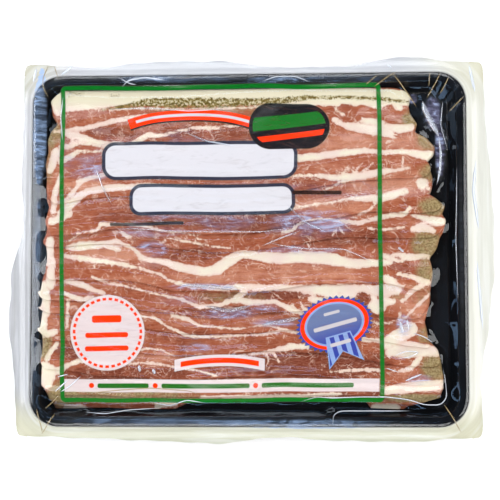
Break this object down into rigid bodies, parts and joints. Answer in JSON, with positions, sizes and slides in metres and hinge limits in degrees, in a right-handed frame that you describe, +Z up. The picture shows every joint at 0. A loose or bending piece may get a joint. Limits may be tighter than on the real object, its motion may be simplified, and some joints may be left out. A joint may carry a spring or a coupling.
{
  "type": "bacon pack",
  "caption": "Flat sealed pack of shingled streaky bacon: a shallow black tray of overlapping rashers in a clear bag with a welded edge and plain printed bands.",
  "frame": {"origin": "middle of the bag's own box, on the surface that the pack lies on", "axes": "+X along the rashers, +Y towards the fat edge of the top rasher, +Z up out of the shown face"},
  "size_m": [0.2808, 0.2238, 0.0217],
  "materials": {
    "tray": "black thermoformed plastic, satin gloss",
    "bacon": "moist cured meat: brown-red lean with cream fat seams, soft wet gloss",
    "film": "clear glossy packing film with plain printed bands, cream-white at the welded edge"
  },
  "bodies": {
    "root": {"tray": "tray", "rasher_01": "bacon", "rasher_02": "bacon", "rasher_03": "bacon", "rasher_04": "bacon", "rasher_05": "bacon", "rasher_06": "bacon", "rasher_07": "bacon", "rasher_08": "bacon", "rasher_09": "bacon", "rasher_10": "bacon", "rasher_11": "bacon", "rasher_12": "bacon", "film_bottom": "film", "film_top": "film"}
  },
  "joints": []
}
